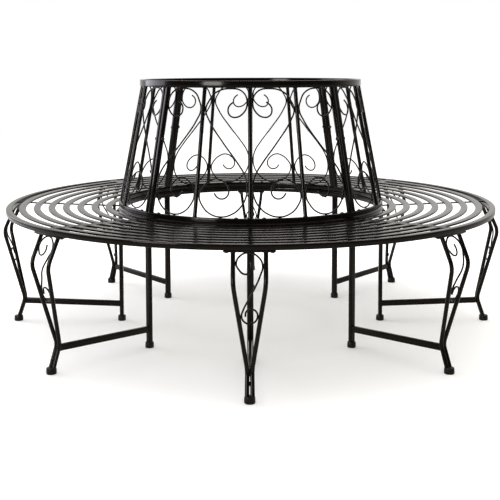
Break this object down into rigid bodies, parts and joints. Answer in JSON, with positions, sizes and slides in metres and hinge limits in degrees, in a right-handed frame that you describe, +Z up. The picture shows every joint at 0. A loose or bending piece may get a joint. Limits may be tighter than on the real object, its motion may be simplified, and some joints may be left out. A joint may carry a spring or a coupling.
{
  "type": "round tree bench",
  "caption": "Round outdoor metal bench that stands around a tree trunk, with a ring of curved seat slats, a scrolled backrest inside it and bent tube legs.",
  "frame": {"origin": "on the ground under the centre of the trunk space", "axes": "+Z up, front of the bench towards -Y, the bench's left as seen from the front towards -X"},
  "size_m": [1.6548, 1.6548, 0.82],
  "materials": {
    "frame_coat": "satin black powder coat over steel",
    "cap_plastic": "moulded black plastic",
    "bolt_coat": "black coated steel"
  },
  "bodies": {
    "root": {"seat_outer_rim_front": "frame_coat", "seat_outer_rim_left": "frame_coat", "seat_outer_rim_back": "frame_coat", "seat_outer_rim_right": "frame_coat", "seat_inner_rim_front": "frame_coat", "seat_inner_rim_left": "frame_coat", "seat_inner_rim_back": "frame_coat", "seat_inner_rim_right": "frame_coat", "seat_slats_front": "frame_coat", "seat_slats_left": "frame_coat", "seat_slats_back": "frame_coat", "seat_slats_right": "frame_coat", "seat_ribs_front": "frame_coat", "seat_ribs_left": "frame_coat", "seat_ribs_back": "frame_coat", "seat_ribs_right": "frame_coat", "back_base_rail_front": "frame_coat", "back_base_rail_left": "frame_coat", "back_base_rail_back": "frame_coat", "back_base_rail_right": "frame_coat", "back_top_rail_front": "frame_coat", "back_top_rail_left": "frame_coat", "back_top_rail_back": "frame_coat", "back_top_rail_right": "frame_coat", "back_posts_front": "frame_coat", "back_posts_left": "frame_coat", "back_posts_back": "frame_coat", "back_posts_right": "frame_coat", "back_scrolls_front": "frame_coat", "back_scrolls_left": "frame_coat", "back_scrolls_back": "frame_coat", "back_scrolls_right": "frame_coat", "leg_outer_front": "frame_coat", "leg_outer_front_left": "frame_coat", "leg_outer_left": "frame_coat", "leg_outer_back_left": "frame_coat", "leg_outer_back": "frame_coat", "leg_outer_back_right": "frame_coat", "leg_outer_right": "frame_coat", "leg_outer_front_right": "frame_coat", "leg_inner_front": "frame_coat", "leg_inner_front_left": "frame_coat", "leg_inner_left": "frame_coat", "leg_inner_back_left": "frame_coat", "leg_inner_back": "frame_coat", "leg_inner_back_right": "frame_coat", "leg_inner_right": "frame_coat", "leg_inner_front_right": "frame_coat", "leg_scroll_front": "frame_coat", "leg_scroll_front_left": "frame_coat", "leg_scroll_left": "frame_coat", "leg_scroll_back_left": "frame_coat", "leg_scroll_back": "frame_coat", "leg_scroll_back_right": "frame_coat", "leg_scroll_right": "frame_coat", "leg_scroll_front_right": "frame_coat", "foot_caps": "cap_plastic", "rim_bolts": "bolt_coat", "base_bolts": "bolt_coat", "seam_bolts": "bolt_coat"}
  },
  "joints": []
}
